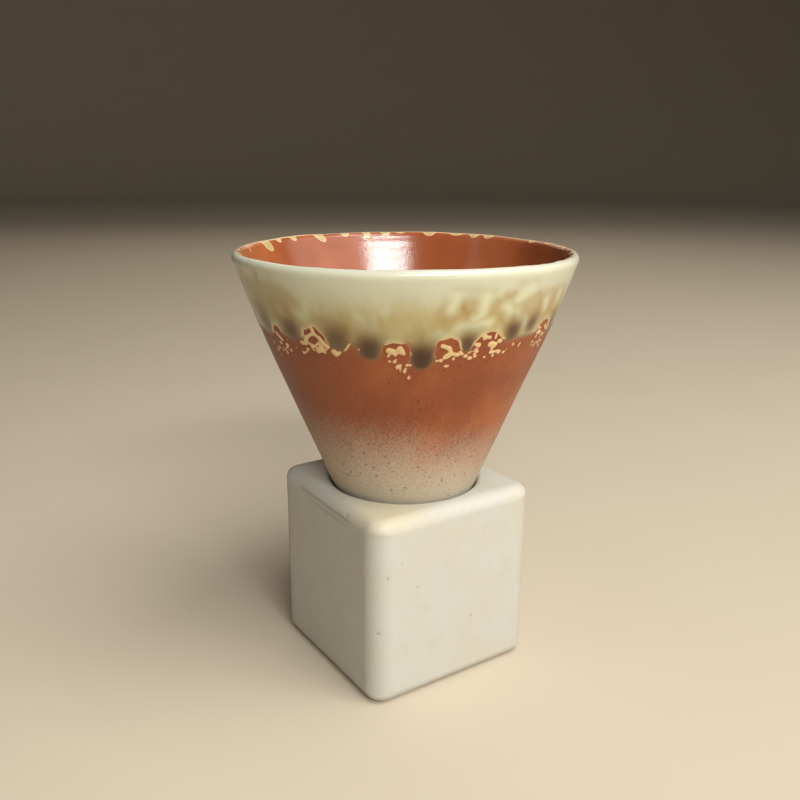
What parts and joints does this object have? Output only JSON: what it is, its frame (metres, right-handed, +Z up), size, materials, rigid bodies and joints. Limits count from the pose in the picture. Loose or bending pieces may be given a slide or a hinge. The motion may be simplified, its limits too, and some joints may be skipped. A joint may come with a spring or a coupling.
{
  "type": "conical cup with cube stand",
  "caption": "Wide conical stoneware cup with a blunt foot, standing in a cup-shaped well in the top of a soft-edged cube stand.",
  "frame": {"origin": "centre of the stand's underside, on the surface that it stands on; the cup's axis passes through it", "axes": "+Z up along the cup's axis; X and Y square to the stand's side faces"},
  "size_m": [0.095, 0.095, 0.122],
  "materials": {
    "cup_glaze": "satin rust-brown glaze, cream ash glaze round the lip, bare clay towards the foot, glossy brown inside",
    "stand_clay": "unglazed matt stoneware"
  },
  "bodies": {
    "stand": {"cube_stand": "stand_clay"},
    "cup": {"cone_cup": "cup_glaze"}
  },
  "joints": [
    {"name": "cup_lift", "type": "slide", "parent": "stand", "child": "cup", "axis": [0, 0, 1], "range_m": [0, 0.06]}
  ]
}
